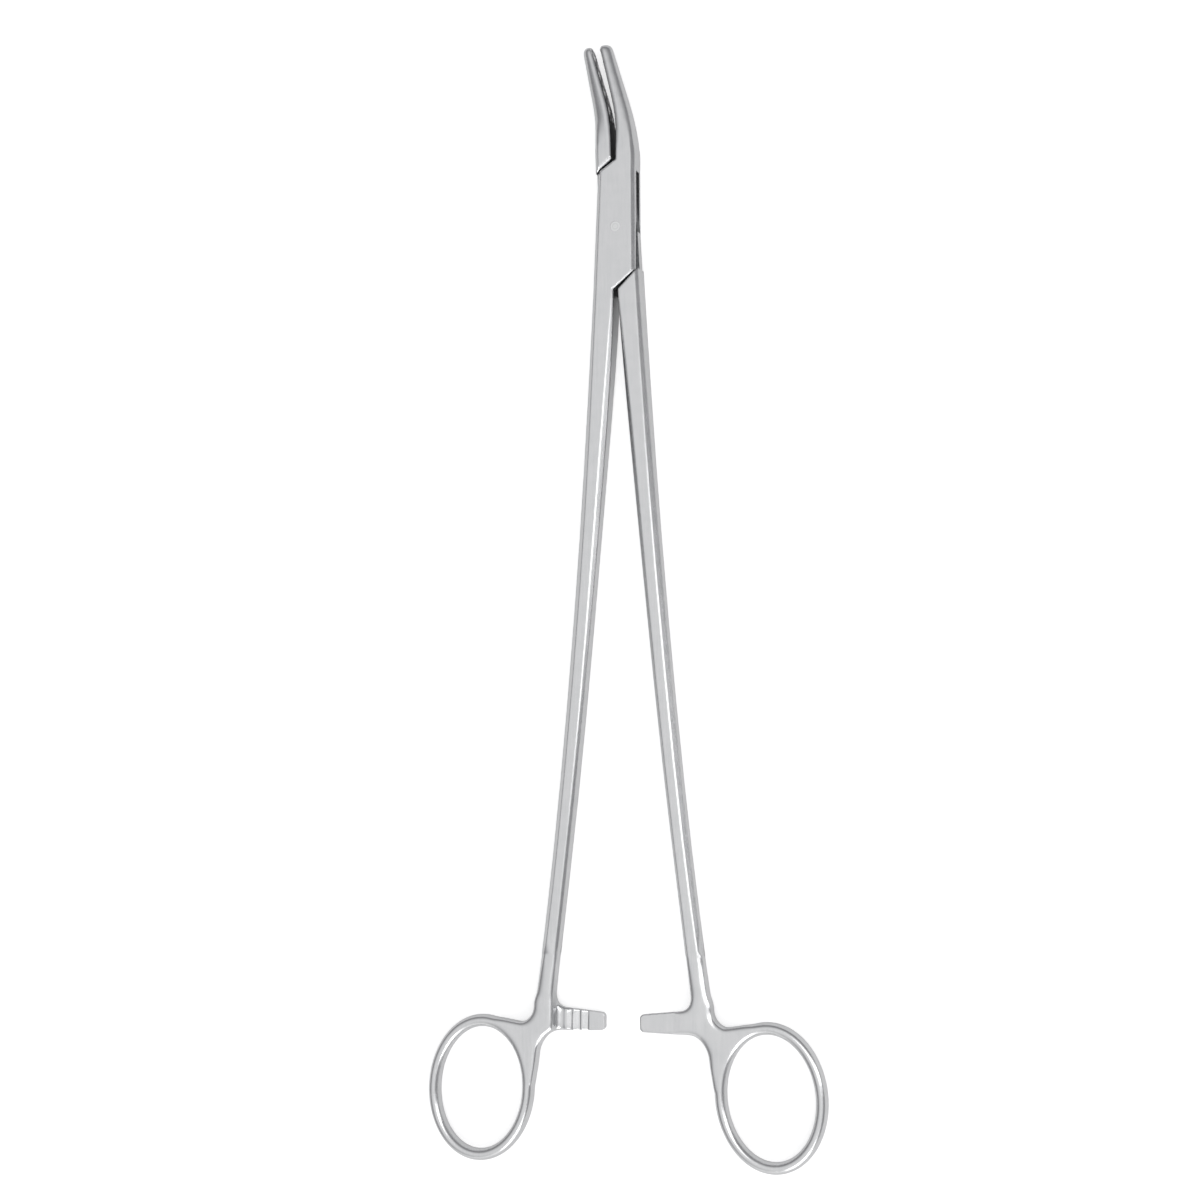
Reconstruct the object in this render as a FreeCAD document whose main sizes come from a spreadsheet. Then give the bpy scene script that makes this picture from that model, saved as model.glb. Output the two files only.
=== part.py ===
import FreeCAD, Part
import math
import os
import Sketcher

# Needle holder with a box joint, lying flat: +Y points to the jaws, -Y to the finger rings and
# +Z along the pivot pin. The origin is on the pin's axis, in the plane that the box rests on.
# Both halves are drawn with the jaws shut and are then turned apart by half the rest opening.

SIZES = [
    # box joint
    ("rest_opening", 2.3),
    ("box_thickness", 6.0),
    ("box_left_front", 4.7),
    ("box_right_front", 4.5),
    ("box_side_back", 5.0),
    ("front_seam_side", 13.27),
    ("front_seam_crotch", 16.4),
    ("front_slot_side", 13.55),
    ("back_seam_side", 10.57),
    ("back_seam_crotch", 15.0),
    ("back_slot_side", 11.2),
    ("box_edge_bevel", 0.9),
    ("through_edge_bevel", 0.85),
    ("jaw_seam_bevel", 0.6),
    ("box_seam_bevel", 0.4),
    ("seam_edge_break", 0.12),
    ("waist_thickness", 2.3),
    ("waist_inset", 0.7),
    ("waist_bulge_back", 1.4),
    ("slot_side_clearance", 0.05),
    ("seam_clearance", 0.1),
    ("pin_radius", 1.0),
    ("pin_head_radius", 1.2),
    ("pin_head_depth", 0.5),
    ("pin_clearance", 0.04),
    ("pin_end_recess", 0.05),
    # jaws
    ("jaw_reach", 45.0),
    ("jaw_crotch_shift", 0.485),
    ("jaw_root_lean", 0.45),
    ("jaw_bend_start", 21.5),
    ("jaw_bend_radius", 40.0),
    ("jaw_lean", 14.75),
    ("jaw_taper_start", 19.0),
    ("jaw_tip_thickness", 3.1),
    ("jaw_tip_outer_round", 1.1),
    ("jaw_face_bevel", 0.35),
    ("right_jaw_bend_start", 17.0),
    ("right_jaw_bend_end", 30.0),
    ("right_jaw_bend_start_side", 4.5),
    ("right_jaw_bend_end_side", 2.1),
    ("right_jaw_bend_radius", 56.0),
    ("right_jaw_tip_width", 2.6),
    ("left_jaw_root_side", 4.75),
    ("left_jaw_bend_start", 24.0),
    ("left_jaw_bend_end", 31.0),
    ("left_jaw_bend_start_side", 4.78),
    ("left_jaw_bend_end_side", 5.45),
    ("left_jaw_bend_radius", 45.0),
    ("left_jaw_tip_width", 2.25),
    # jaw inserts
    ("insert_start", 26.0),
    ("insert_tip_margin", 0.9),
    ("insert_width", 2.0),
    ("insert_thickness", 0.9),
    ("insert_proud", 0.15),
    ("insert_gap", 0.06),
    ("insert_end_round", 0.9),
    ("braze_gap", 0.03),
    ("tooth_pitch", 0.8),
    ("tooth_depth", 0.2),
    # shanks
    ("shank_start", 16.5),
    ("shank_start_side", 5.5),
    ("shank_root_side", 5.3),
    ("shank_inner_gap", 0.28),
    ("shank_end_before_ring", 22.63),
    ("shank_end_beside_ring", 15.95),
    ("shank_end_half_width", 2.1),
    ("shank_end_half_thickness", 1.95),
    ("shank_end_outer_bevel", 0.8),
    ("shank_end_inner_bevel", 0.6),
    # ratchet
    ("ratchet_before_ring", 16.76),
    ("ratchet_stop_short", 0.86),
    ("ratchet_end_height", 4.1),
    ("ratchet_root_height", 5.6),
    ("ratchet_root_fillet", 2.6),
    ("ratchet_half_gap", 0.12),
    ("ratchet_arm_thickness", 1.9),
    ("ratchet_lead_in", 3.9),
    ("ratchet_pitch", 2.05),
    ("ratchet_teeth", 4),
    ("ratchet_tooth_depth", 0.7),
    ("ratchet_end_bevel", 0.6),
    # finger rings and the webs that carry them
    ("ring_centre_side", 31.18),
    ("ring_centre_back", 204.46),
    ("ring_opening_length", 28.7),
    ("ring_opening_width", 20.8),
    ("ring_tilt", 3.85),
    ("ring_limb_width", 2.8),
    ("ring_limb_thickness", 4.0),
    ("web_thickness", 3.7),
    ("web_edge_round", 0.8),
    ("web_outer_flare", 0.7),
    ("web_saddle_beside_ring", 10.1),
    ("web_saddle_before_ring", 15.65),
    ("web_saddle_radius", 4.2),
    ("web_top_beside_ring", 4.3),
    ("web_top_before_ring", 16.5),
    ("web_root_radius", 7.0),
    ("web_root_beside_ring", 14.1),
    ("web_root_before_ring", 7.85),
]

# Shank sections: distance back from the pin, centre's distance from the mid line, half width,
# half thickness, outer bevel and inner bevel. The names end in the section's number.
SHANK_SECTIONS = [
    (32.0, 3.49, 2.68, 2.85, 1.0, 0.9),
    (60.0, 5.07, 2.52, 2.45, 1.25, 1.1),
    (103.0, 7.95, 2.2, 2.2, 1.25, 0.8),
    (146.0, 11.53, 2.02, 2.1, 1.2, 0.7),
]

doc = FreeCAD.newDocument("needle_holder")
sheet = doc.addObject("Spreadsheet::Sheet", "sizes")
row = 1
for name, value in SIZES:
    sheet.set(f"A{row}", name)
    sheet.set(f"B{row}", str(value))
    sheet.setAlias(f"B{row}", name)
    row += 1
PARTS = ("back", "centre", "half_width", "half_thickness", "outer_bevel", "inner_bevel")
for number, section in enumerate(SHANK_SECTIONS, 1):
    for part, value in zip(PARTS, section):
        alias = f"shank_{part}_no{number}"
        sheet.set(f"A{row}", alias)
        sheet.set(f"B{row}", str(value))
        sheet.setAlias(f"B{row}", alias)
        row += 1
doc.recompute()


def size(name):
    return float(sheet.get(name))


def plane(body, role):
    for feature in body.Origin.OriginFeatures:
        if feature.Role == role:
            return feature


class Outline:
    """A sketch on an origin plane whose corner points are tied to formulas of the sheet."""

    def __init__(self, body, name, role="XY_Plane", offset=None):
        self.sketch = body.newObject("Sketcher::SketchObject", name)
        self.sketch.AttachmentSupport = [(plane(body, role), "")]
        self.sketch.MapMode = "FlatFace"
        if offset:
            self.sketch.setExpression("AttachmentOffset.Base.z", offset)

    def value(self, formula):
        return float(self.sketch.evalExpression(formula))

    def draw(self, points, bulges=None):
        """Closed outline through the points; bulges maps an edge's number to its arc radius."""
        bulges = bulges or {}
        at = [FreeCAD.Vector(self.value(x), self.value(y), 0) for x, y in points]
        first = len(self.sketch.Geometry)
        count = len(at)
        for i in range(count):
            start, end = at[i], at[(i + 1) % count]
            if i in bulges:
                self.sketch.addGeometry(arc_between(start, end, self.value(bulges[i])), False)
            else:
                self.sketch.addGeometry(Part.LineSegment(start, end), False)
        return self.tie(points, bulges, first, count)

    def tie(self, points, bulges, first, count):
        sketch = self.sketch
        for i in range(count):
            after = (i + 1) % count
            end = 1 if i in bulges and self.value(bulges[i]) < 0 else 2
            start = 2 if after in bulges and self.value(bulges[after]) < 0 else 1
            joint = ("Coincident", first + i, end, first + after, start)
            sketch.addConstraint(Sketcher.Constraint(*joint))
        for i, (x, y) in enumerate(points):
            start = 2 if i in bulges and self.value(bulges[i]) < 0 else 1
            for kind, formula in (("DistanceX", x), ("DistanceY", y)):
                place = (kind, -1, 1, first + i, start, self.value(formula))
                distance = Sketcher.Constraint(*place)
                index = sketch.addConstraint(distance)
                sketch.setExpression(f"Constraints[{index}]", formula)
        for i, radius in bulges.items():
            arc = Sketcher.Constraint("Radius", first + i, abs(self.value(radius)))
            index = sketch.addConstraint(arc)
            sketch.setExpression(f"Constraints[{index}]", f"abs({radius})")
        return sketch


def arc_between(start, end, radius):
    """Arc from start to end that turns left for a positive radius and right for a negative."""
    chord = end - start
    half = chord.Length / 2
    rise = math.sqrt(max(radius * radius - half * half, 0))
    side = FreeCAD.Vector(-chord.y, chord.x, 0).normalize()
    centre = start + chord * 0.5 + side * math.copysign(rise, radius)
    first, last = (start, end) if radius > 0 else (end, start)
    angles = [math.atan2(p.y - centre.y, p.x - centre.x) for p in (first, last)]
    circle = Part.Circle(centre, FreeCAD.Vector(0, 0, 1), abs(radius))
    return Part.ArcOfCircle(circle, angles[0], angles[1])


def pad(body, name, sketch, length, centred=True, back=False):
    feature = body.newObject("PartDesign::Pad", name)
    feature.Profile = sketch
    feature.setExpression("Length", length)
    feature.SideType = "Symmetric" if centred else "One side"
    feature.Reversed = back
    doc.recompute()
    return feature


def pocket(body, name, sketch, length, centred=True, back=False):
    before = body.Tip.Shape.Volume
    feature = body.newObject("PartDesign::Pocket", name)
    feature.Profile = sketch
    feature.setExpression("Length", length)
    feature.SideType = "Symmetric" if centred else "One side"
    feature.Reversed = back
    doc.recompute()
    if feature.Shape.Volume >= before - 1e-6:
        raise RuntimeError(f"{name} removed nothing")
    return feature


def edges_where(shape, test):
    return [f"Edge{i}" for i, edge in enumerate(shape.Edges, 1) if test(edge)]


def middle(edge):
    return edge.valueAt((edge.FirstParameter + edge.LastParameter) / 2)


def bevel(body, name, test, width):
    """Bevels the first edge that passes the test, with the edges that run on smoothly from it."""
    base = body.Tip
    chosen = edges_where(base.Shape, test)[:1]
    feature = body.newObject("PartDesign::Chamfer", name)
    feature.Base = (base, chosen)
    feature.setExpression("Size", width)
    doc.recompute()
    check(feature, base, chosen)
    return feature


def rounding(body, name, test, radius):
    base = body.Tip
    chosen = edges_where(base.Shape, test)
    feature = body.newObject("PartDesign::Fillet", name)
    feature.Base = (base, chosen)
    feature.setExpression("Radius", radius)
    doc.recompute()
    check(feature, base, chosen)
    return feature


def check(feature, base, chosen):
    """Stops at a bevel or rounding that failed, and says where it is."""
    if feature.Shape.isNull() or not feature.Shape.isValid():
        ends = [vertex.Point for vertex in base.Shape.getElement(chosen[0]).Vertexes]
        raise RuntimeError(f"{feature.Name} is not valid from {ends[0]} to {ends[-1]}")


# Corner points that both halves share, in the shut position, as formulas of the sheet.
FRONT_LEFT = ("-sizes.box_left_front", "sizes.front_seam_side")
BACK_RIGHT = ("sizes.box_side_back", "-sizes.back_seam_side")
HALF_JAW_GAP = "(sizes.insert_proud + sizes.insert_gap / 2)"
SHANK_GAP = "sizes.shank_inner_gap"
RATCHET_BACK = "(sizes.ring_centre_back - sizes.ratchet_before_ring)"
SHANK_END = "(sizes.ring_centre_back - sizes.shank_end_before_ring)"
LIMB_MIDDLE = "(sizes.ring_opening_width + sizes.ring_limb_width) / 2"
SLOT = "sizes.waist_thickness + 2 * sizes.slot_side_clearance"


def face_x(y):
    """Side position of the closed jaws' meeting line on its bend, at the height y."""
    angle = (
        f"asin(sin(sizes.jaw_root_lean)"
        f" + ({y} - sizes.jaw_bend_start) / sizes.jaw_bend_radius)"
    )
    start = (
        "-sizes.jaw_crotch_shift"
        " - (sizes.jaw_bend_start - sizes.front_seam_crotch) * tan(sizes.jaw_root_lean)"
    )
    return f"({start} - sizes.jaw_bend_radius * (cos(sizes.jaw_root_lean) - cos({angle})))"


BEND_END = (
    "(sizes.jaw_bend_start"
    " + sizes.jaw_bend_radius * (sin(sizes.jaw_lean) - sin(sizes.jaw_root_lean)))"
)


def straight_face_x(y):
    """Side position of the meeting line on its straight stretch beyond the bend."""
    return f"({face_x(BEND_END)} - ({y} - {BEND_END}) * tan(sizes.jaw_lean))"


def face_points(shift):
    """A jaw face from bend start to tip, moved sideways by shift."""
    heights = ("sizes.jaw_bend_start", BEND_END)
    points = [(f"{face_x(y)} + {shift}", y) for y in heights]
    return points + [(f"{straight_face_x('sizes.jaw_reach')} + {shift}", "sizes.jaw_reach")]


def tip_corners(side, face_tip, width, bend_end):
    """Both ends of the arc that rounds the outer corner of a jaw's tip, the end face's first."""
    corner_x = f"({face_tip[0]} + {side} * {width})"
    y = face_tip[1]
    slope = f"({side} * ({bend_end[0]} - {corner_x}) / ({y} - {bend_end[1]}))"
    length = f"sqrt(1 + {slope} * {slope})"
    reach = f"(sizes.jaw_tip_outer_round * ({length} - {slope}))"
    return [
        (f"{corner_x} - {side} * {reach}", y),
        (f"{corner_x} + {side} * {reach} * {slope} / {length}", f"{y} - {reach} / {length}"),
    ]


def flip(side, points):
    return [(f"{side} * ({x})", y) for x, y in points]


def shank(body, side, outer_bevel, inner_bevel):
    """The long tapering leg, lofted through eight-sided sections that bow gently outwards."""
    half = "sizes.box_thickness / 2"
    start_centre = f"(sizes.shank_start_side + {SHANK_GAP}) / 2"
    start_width = f"(sizes.shank_start_side - {SHANK_GAP}) / 2"
    stations = [
        ("sizes.shank_start", start_centre, start_width, half, outer_bevel, inner_bevel),
    ]
    for number in range(1, len(SHANK_SECTIONS) + 1):
        stations.append(tuple(f"sizes.shank_{part}_no{number}" for part in PARTS))
    end_centre = "(sizes.ring_centre_side - sizes.shank_end_beside_ring)"
    end = [f"sizes.shank_end_{part}" for part in PARTS[2:]]
    stations.append((SHANK_END, end_centre, *end))
    sections = []
    for number, station in enumerate(stations):
        back, centre, width, thick, outer, inner = station
        far, near = f"({centre} + {width})", f"({centre} - ({width}))"
        points = [
            (f"{far} - {outer}", thick),
            (far, f"{thick} - {outer}"),
            (far, f"{outer} - {thick}"),
            (f"{far} - {outer}", f"-({thick})"),
            (f"{near} + {inner}", f"-({thick})"),
            (near, f"{inner} - {thick}"),
            (near, f"{thick} - {inner}"),
            (f"{near} + {inner}", thick),
        ]
        outline = Outline(body, f"shank_section_{number}", "XZ_Plane", back)
        sections.append(outline.draw(flip(side, points)))
    doc.recompute()
    loft = body.newObject("PartDesign::AdditiveLoft", "shank")
    loft.Profile = sections[0]
    loft.Sections = [(section, [""]) for section in sections[1:]]
    doc.recompute()


def web(body, side):
    """The flat forging that joins shank, ratchet arm and finger ring."""
    end_outer = (
        "sizes.ring_centre_side - sizes.shank_end_beside_ring + sizes.shank_end_half_width"
    )
    end_inner = (
        "sizes.ring_centre_side - sizes.shank_end_beside_ring - sizes.shank_end_half_width"
    )
    limb_y = "-sizes.ring_centre_back + sizes.ring_limb_width / 2"
    points = [
        (end_outer, f"-{SHANK_END}"),
        (f"{end_outer} + sizes.web_outer_flare", f"-{SHANK_END} - 3 * sizes.web_outer_flare"),
        ("sizes.ring_centre_side - sizes.web_saddle_beside_ring",
         "-sizes.ring_centre_back + sizes.web_saddle_before_ring"),
        ("sizes.ring_centre_side - sizes.web_top_beside_ring",
         "-sizes.ring_centre_back + sizes.web_top_before_ring"),
        ("sizes.ring_centre_side",
         "-sizes.ring_centre_back + (sizes.ring_opening_length + sizes.ring_limb_width) / 2"),
        (f"sizes.ring_centre_side - {LIMB_MIDDLE}", limb_y),
        (f"sizes.ring_centre_side - {LIMB_MIDDLE} - sizes.ring_limb_width / 2.1", limb_y),
        ("sizes.ring_centre_side - sizes.web_root_beside_ring",
         "-sizes.ring_centre_back + sizes.web_root_before_ring"),
        (end_inner, f"-{RATCHET_BACK} - sizes.ratchet_root_height / 2.2"),
        (end_inner, f"-{SHANK_END}"),
    ]
    bulges = {
        1: f"{side} * sizes.web_saddle_radius",
        4: f"{side} * (sizes.ring_opening_length + sizes.ring_limb_width) / 2",
        7: f"{side} * sizes.web_root_radius",
    }
    sketch = Outline(body, "web_outline").draw(flip(side, points), bulges)
    doc.recompute()
    pad(body, "web", sketch, "sizes.web_thickness")
    half = size("web_thickness") / 2
    low = -size("ring_centre_back") + size("ring_limb_width")
    high = -size("ring_centre_back") + size("shank_end_before_ring") - size("web_outer_flare")

    def curved_edge(edge):
        point = middle(edge)
        if edge.Curve.TypeId != "Part::GeomCircle":
            return False
        flat = all(abs(abs(end.Z) - half) < 0.001 and low < end.Y < high for end in edge.Vertexes)
        from_ring = math.hypot(
            (side * point.x - size("ring_centre_side")) / size("ring_opening_width"),
            (point.y + size("ring_centre_back")) / size("ring_opening_length"),
        )
        return flat and abs(abs(point.z) - half) < 0.001 and from_ring > 0.58

    base = body.Tip.Shape
    spots = [middle(base.getElement(name)) for name in edges_where(base, curved_edge)]
    for number, spot in enumerate(spots, 1):

        def at_spot(edge, spot=spot):
            return middle(edge).distanceToPoint(spot) < 0.01

        rounding(body, f"web_rounding_{number}", at_spot, "sizes.web_edge_round")


def ratchet_arm(body, side):
    """The toothed arm: the left one faces forwards and the right one backwards."""
    down = side < 0
    reach = "sizes.ratchet_stop_short"
    bevelled = f"{reach} + sizes.ratchet_end_bevel"
    root = "(sizes.ring_centre_side - sizes.shank_end_beside_ring)"
    inner = f"{root} - sizes.shank_end_half_width"
    end_half, root_half = "sizes.ratchet_end_height / 2", "sizes.ratchet_root_height / 2"
    points = [
        (root, f"-{RATCHET_BACK} + {root_half} + sizes.ratchet_root_fillet"),
        (inner, f"-{RATCHET_BACK} + {root_half} + sizes.ratchet_root_fillet"),
        (f"{inner} - sizes.ratchet_root_fillet", f"-{RATCHET_BACK} + {root_half}"),
        (bevelled, f"-{RATCHET_BACK} + {end_half}"),
        (reach, f"-{RATCHET_BACK} + {end_half} - sizes.ratchet_end_bevel"),
        (reach, f"-{RATCHET_BACK} - {end_half} + sizes.ratchet_end_bevel"),
        (bevelled, f"-{RATCHET_BACK} - {end_half}"),
        (root, f"-{RATCHET_BACK} - {root_half}"),
    ]
    bulges = {1: f"{-side} * sizes.ratchet_root_fillet"}
    lift = f"{side} * sizes.ratchet_half_gap"
    sketch = Outline(body, "ratchet_outline", "XY_Plane", lift).draw(flip(side, points), bulges)
    doc.recompute()
    pad(body, "ratchet_arm", sketch, "sizes.ratchet_arm_thickness", centred=False, back=down)
    first = "sizes.ratchet_lead_in + sizes.ratchet_stop_short"
    depth = f"{lift} + {side} * sizes.ratchet_tooth_depth"
    saw = [(first, "0")]
    for number in range(int(size("ratchet_teeth"))):
        saw.append((f"{first} + {number} * sizes.ratchet_pitch", depth))
        saw.append((f"{first} + {number + 1} * sizes.ratchet_pitch", lift))
    saw.append((saw[-1][0], "0"))
    teeth = Outline(body, "ratchet_teeth_outline", "XZ_Plane", RATCHET_BACK)
    teeth.draw(flip(side, saw))
    doc.recompute()
    pocket(body, "ratchet_teeth", teeth.sketch, "2 * sizes.ratchet_root_height")


def ring(body, side):
    """The oval finger ring, an oval section carried round an oval path."""
    tilt = f"{side} * sizes.ring_tilt"
    path = body.newObject("Sketcher::SketchObject", "ring_path")
    path.AttachmentSupport = [(plane(body, "XY_Plane"), "")]
    path.MapMode = "FlatFace"
    path.setExpression("AttachmentOffset.Base.x", f"{side} * sizes.ring_centre_side")
    path.setExpression("AttachmentOffset.Base.y", "-sizes.ring_centre_back")
    path.setExpression("AttachmentOffset.Rotation.Angle", tilt)
    long_half = "(sizes.ring_opening_length + sizes.ring_limb_width) / 2"
    oval(path, "0", "0", long_half, LIMB_MIDDLE)
    section = body.newObject("Sketcher::SketchObject", "ring_section")
    section.AttachmentSupport = [(plane(body, "XZ_Plane"), "")]
    section.MapMode = "FlatFace"
    offset = FreeCAD.Placement(FreeCAD.Vector(), FreeCAD.Rotation(FreeCAD.Vector(0, 1, 0), 1))
    section.AttachmentOffset = offset
    section.setExpression("AttachmentOffset.Base.x", f"{side} * sizes.ring_centre_side")
    section.setExpression("AttachmentOffset.Base.z", "sizes.ring_centre_back")
    section.setExpression("AttachmentOffset.Rotation.Angle", tilt)
    oval(section, LIMB_MIDDLE, "0", "sizes.ring_limb_thickness / 2", "sizes.ring_limb_width / 2")
    doc.recompute()
    pipe = body.newObject("PartDesign::AdditivePipe", "finger_ring")
    pipe.Profile = section
    pipe.Spine = (path, ["Edge1"])
    doc.recompute()


def oval(sketch, x, y, tall, wide):
    """Ellipse at x, y whose half height and half width are tied to formulas of the sheet."""
    at = [float(sketch.evalExpression(text)) for text in (x, y, tall, wide)]
    centre = FreeCAD.Vector(at[0], at[1], 0)
    top = centre + FreeCAD.Vector(0, at[2], 0)
    right = centre + FreeCAD.Vector(at[3], 0, 0)
    sketch.addGeometry(Part.Ellipse(top, right, centre), False)
    sketch.exposeInternalGeometry(0)
    ties = [("DistanceX", -1, 1, 0, 3, at[0], x), ("DistanceY", -1, 1, 0, 3, at[1], y)]
    for kind, first, start, second, end, value, formula in ties:
        index = sketch.addConstraint(Sketcher.Constraint(kind, first, start, second, end, value))
        sketch.setExpression(f"Constraints[{index}]", formula)
    sketch.addConstraint(Sketcher.Constraint("Vertical", 1))
    for line, value, formula in ((1, at[2], tall), (2, at[3], wide)):
        index = sketch.addConstraint(Sketcher.Constraint("Distance", line, 2 * value))
        sketch.setExpression(f"Constraints[{index}]", f"2 * ({formula})")


def new_body(name, lean):
    """A body whose middle plane is the box's, turned about the pin by lean rest openings."""
    body = doc.addObject("PartDesign::Body", name)
    body.Label = name
    body.setExpression("Placement.Base.z", "sizes.box_thickness / 2")
    body.setExpression("Placement.Rotation.Angle", f"{lean} * sizes.rest_opening")
    return body


def taper_jaw(body):
    """Both faces of the jaw slope from the box's thickness to the tip's."""
    beyond = "(sizes.jaw_reach + 1)"
    slope = (
        "(sizes.box_thickness - sizes.jaw_tip_thickness) / 2"
        " / (sizes.jaw_reach - sizes.jaw_taper_start)"
    )
    start, half = "sizes.jaw_taper_start", "sizes.box_thickness / 2"
    end = f"{half} - ({beyond} - {start}) * {slope}"
    for name, side in (("jaw_taper_front", 1), ("jaw_taper_back", -1)):
        wedge = [(start, f"{side} * {half}"), (beyond, f"{side} * {half}")]
        wedge.append((beyond, f"{side} * ({end})"))
        sketch = Outline(body, f"{name}_outline", "YZ_Plane").draw(wedge)
        doc.recompute()
        pocket(body, name, sketch, "8 * sizes.box_left_front")


def insert_outline(body, name, side, margin):
    """Plan of a jaw insert, or with a margin of the recess that it is brazed into."""
    proud = f"{HALF_JAW_GAP} - sizes.insert_proud - {margin}"
    floor = f"{HALF_JAW_GAP} - sizes.insert_proud + sizes.insert_thickness + {margin}"
    start = f"(sizes.insert_start - {margin})"
    end = f"(sizes.jaw_reach - sizes.insert_tip_margin + {margin})"
    near, far = f"{side} * ({proud})", f"{side} * ({floor})"
    points = [
        (f"{face_x(start)} + {near}", start),
        (f"{face_x(BEND_END)} + {near}", BEND_END),
        (f"{straight_face_x(end)} + {near}", end),
        (f"{straight_face_x(end)} + {far}", end),
        (f"{face_x(BEND_END)} + {far}", BEND_END),
        (f"{face_x(start)} + {far}", start),
    ]
    bulges = {0: "sizes.jaw_bend_radius", 4: "-sizes.jaw_bend_radius"}
    sketch = Outline(body, name).draw(points, bulges)
    doc.recompute()
    return sketch


def start_corners(margin):
    """Test for the corners at an insert's rounded end, which run across the jaw."""
    height = size("insert_start") - margin
    half = size("insert_width") / 2 + margin

    def test(edge):
        point = middle(edge)
        flat = abs(edge.Vertexes[0].Y - edge.Vertexes[-1].Y) < 0.001
        return flat and abs(point.y - height) < 0.001 and abs(abs(point.z) - half) < 0.001

    return test


def recess(body, side):
    sketch = insert_outline(body, "insert_recess_outline", side, "sizes.braze_gap")
    pocket(body, "insert_recess", sketch, "sizes.insert_width + 2 * sizes.braze_gap")
    corners = start_corners(size("braze_gap"))
    rounding(body, "recess_rounding", corners, "sizes.insert_end_round + sizes.braze_gap")


def insert(name, side, lean):
    """Cross-cut pad that stands a little proud of its jaw's steel face."""
    body = new_body(name, lean)
    sketch = insert_outline(body, "insert_outline", side, "0")
    pad(body, "insert_plate", sketch, "sizes.insert_width")
    rounding(body, "insert_rounding", start_corners(0), "sizes.insert_end_round")
    grooves = Outline(body, "groove_outline")
    top = f"{side} * ({HALF_JAW_GAP} - sizes.insert_proud)"
    length = size("jaw_reach") - size("insert_tip_margin") - size("insert_start")
    count = int(length / size("tooth_pitch"))
    for number in range(1, count):
        at = f"(sizes.insert_start + {number} * sizes.tooth_pitch)"
        x = straight_face_x if grooves.value(f"{at} - {BEND_END}") > 0 else face_x
        low, high = f"({at} - sizes.tooth_depth)", f"({at} + sizes.tooth_depth)"
        outside = f"{top} - {side} * sizes.tooth_depth / 2"
        grooves.draw([
            (f"{x(low)} + {outside}", low),
            (f"{x(at)} + {top} + {side} * sizes.tooth_depth", at),
            (f"{x(high)} + {outside}", high),
        ])
    doc.recompute()
    pocket(body, "grooves", grooves.sketch, "2 * sizes.insert_width")
    return body


def bore(body, radius):
    sketch = body.newObject("Sketcher::SketchObject", "pin_bore_outline")
    sketch.AttachmentSupport = [(plane(body, "XY_Plane"), "")]
    sketch.MapMode = "FlatFace"
    start = float(sketch.evalExpression(radius))
    normal = FreeCAD.Vector(0, 0, 1)
    sketch.addGeometry(Part.Circle(FreeCAD.Vector(), normal, start), False)
    sketch.addConstraint(Sketcher.Constraint("Coincident", 0, 3, -1, 1))
    index = sketch.addConstraint(Sketcher.Constraint("Radius", 0, start))
    sketch.setExpression(f"Constraints[{index}]", radius)
    doc.recompute()
    pocket(body, "pin_bore", sketch, "2 * sizes.box_thickness")


def pin_profile(body, name, seat=False):
    """Half section of the rivet, which flares to a head at both ends, or of its seat."""
    neck = "(sizes.box_thickness / 2 - sizes.pin_head_depth)"
    end = "(sizes.box_thickness / 2 - sizes.pin_end_recess)"
    top = [("sizes.pin_radius", neck), ("sizes.pin_head_radius", end)]
    if seat:
        top.append(("sizes.pin_head_radius", "sizes.box_thickness / 2"))
    top.append(("0", top[-1][1]))
    bottom = [(x, f"-({y})") for x, y in reversed(top)]
    sketch = Outline(body, name, "XZ_Plane").draw(bottom + top)
    doc.recompute()
    return sketch


def revolve(body, kind, name, sketch):
    before = body.Tip.Shape.Volume if body.Tip else 0
    feature = body.newObject(kind, name)
    feature.Profile = sketch
    feature.ReferenceAxis = (sketch, ["V_Axis"])
    feature.Angle = 360
    doc.recompute()
    if before and feature.Shape.Volume >= before - 1e-6:
        raise RuntimeError(f"{name} removed nothing")


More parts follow.
